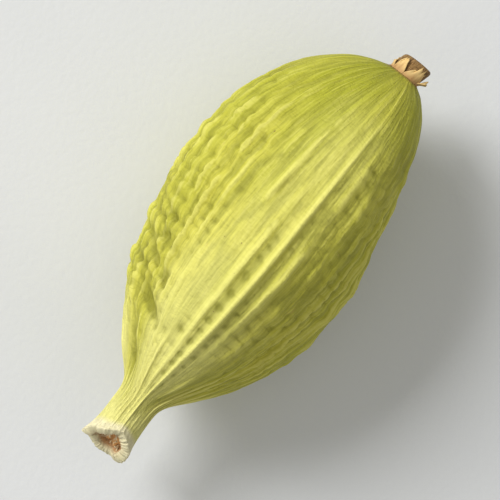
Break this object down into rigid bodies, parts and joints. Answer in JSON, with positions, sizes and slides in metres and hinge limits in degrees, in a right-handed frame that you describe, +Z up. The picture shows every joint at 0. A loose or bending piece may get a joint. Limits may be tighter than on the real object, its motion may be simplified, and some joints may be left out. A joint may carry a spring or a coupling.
{
  "type": "green cardamom pod",
  "caption": "Dried green cardamom pod: a three-cornered, finely ribbed husk tapering to a pale neck with a hollow stalk stub, lying on one face.",
  "frame": {"origin": "on the surface the pod lies on, under the middle of its bounding box", "axes": "+Z up; +X along the pod's length, from the stalk stub towards the far end; the uppermost ridge faces +Z"},
  "size_m": [0.0186, 0.0086, 0.0082],
  "materials": {
    "husk": "dry, dull, finely ribbed papery husk, yellow-green with paler ribs"
  },
  "bodies": {
    "root": {"cardamom_pod": "husk"}
  },
  "joints": []
}
